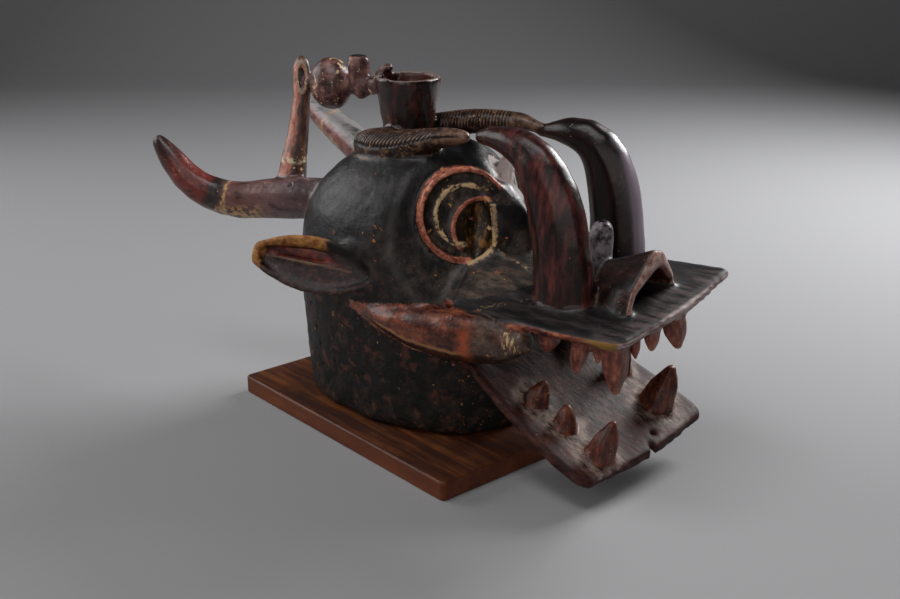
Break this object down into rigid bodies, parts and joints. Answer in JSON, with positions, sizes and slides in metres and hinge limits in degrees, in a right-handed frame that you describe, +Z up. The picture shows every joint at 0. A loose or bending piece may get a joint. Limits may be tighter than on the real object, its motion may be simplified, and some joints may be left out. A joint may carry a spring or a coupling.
{
  "type": "wanyugo helmet mask",
  "caption": "Carved wooden helmet mask with open toothed jaws, tusks, horns, ears and a crown group of cup, bird and lizards, resting on its board",
  "frame": {"origin": "centre of the board's underside", "axes": "+Z up, the jaws point along -Y, the mask's own left side is +X"},
  "size_m": [0.3427, 0.6419, 0.3793],
  "materials": {
    "carved_wood": "worn dark patina over red and black pigment, half gloss",
    "varnished_wood": "red-brown varnish, satin"
  },
  "bodies": {
    "root": {"carved_mask": "carved_wood", "plinth": "varnished_wood"}
  },
  "joints": []
}
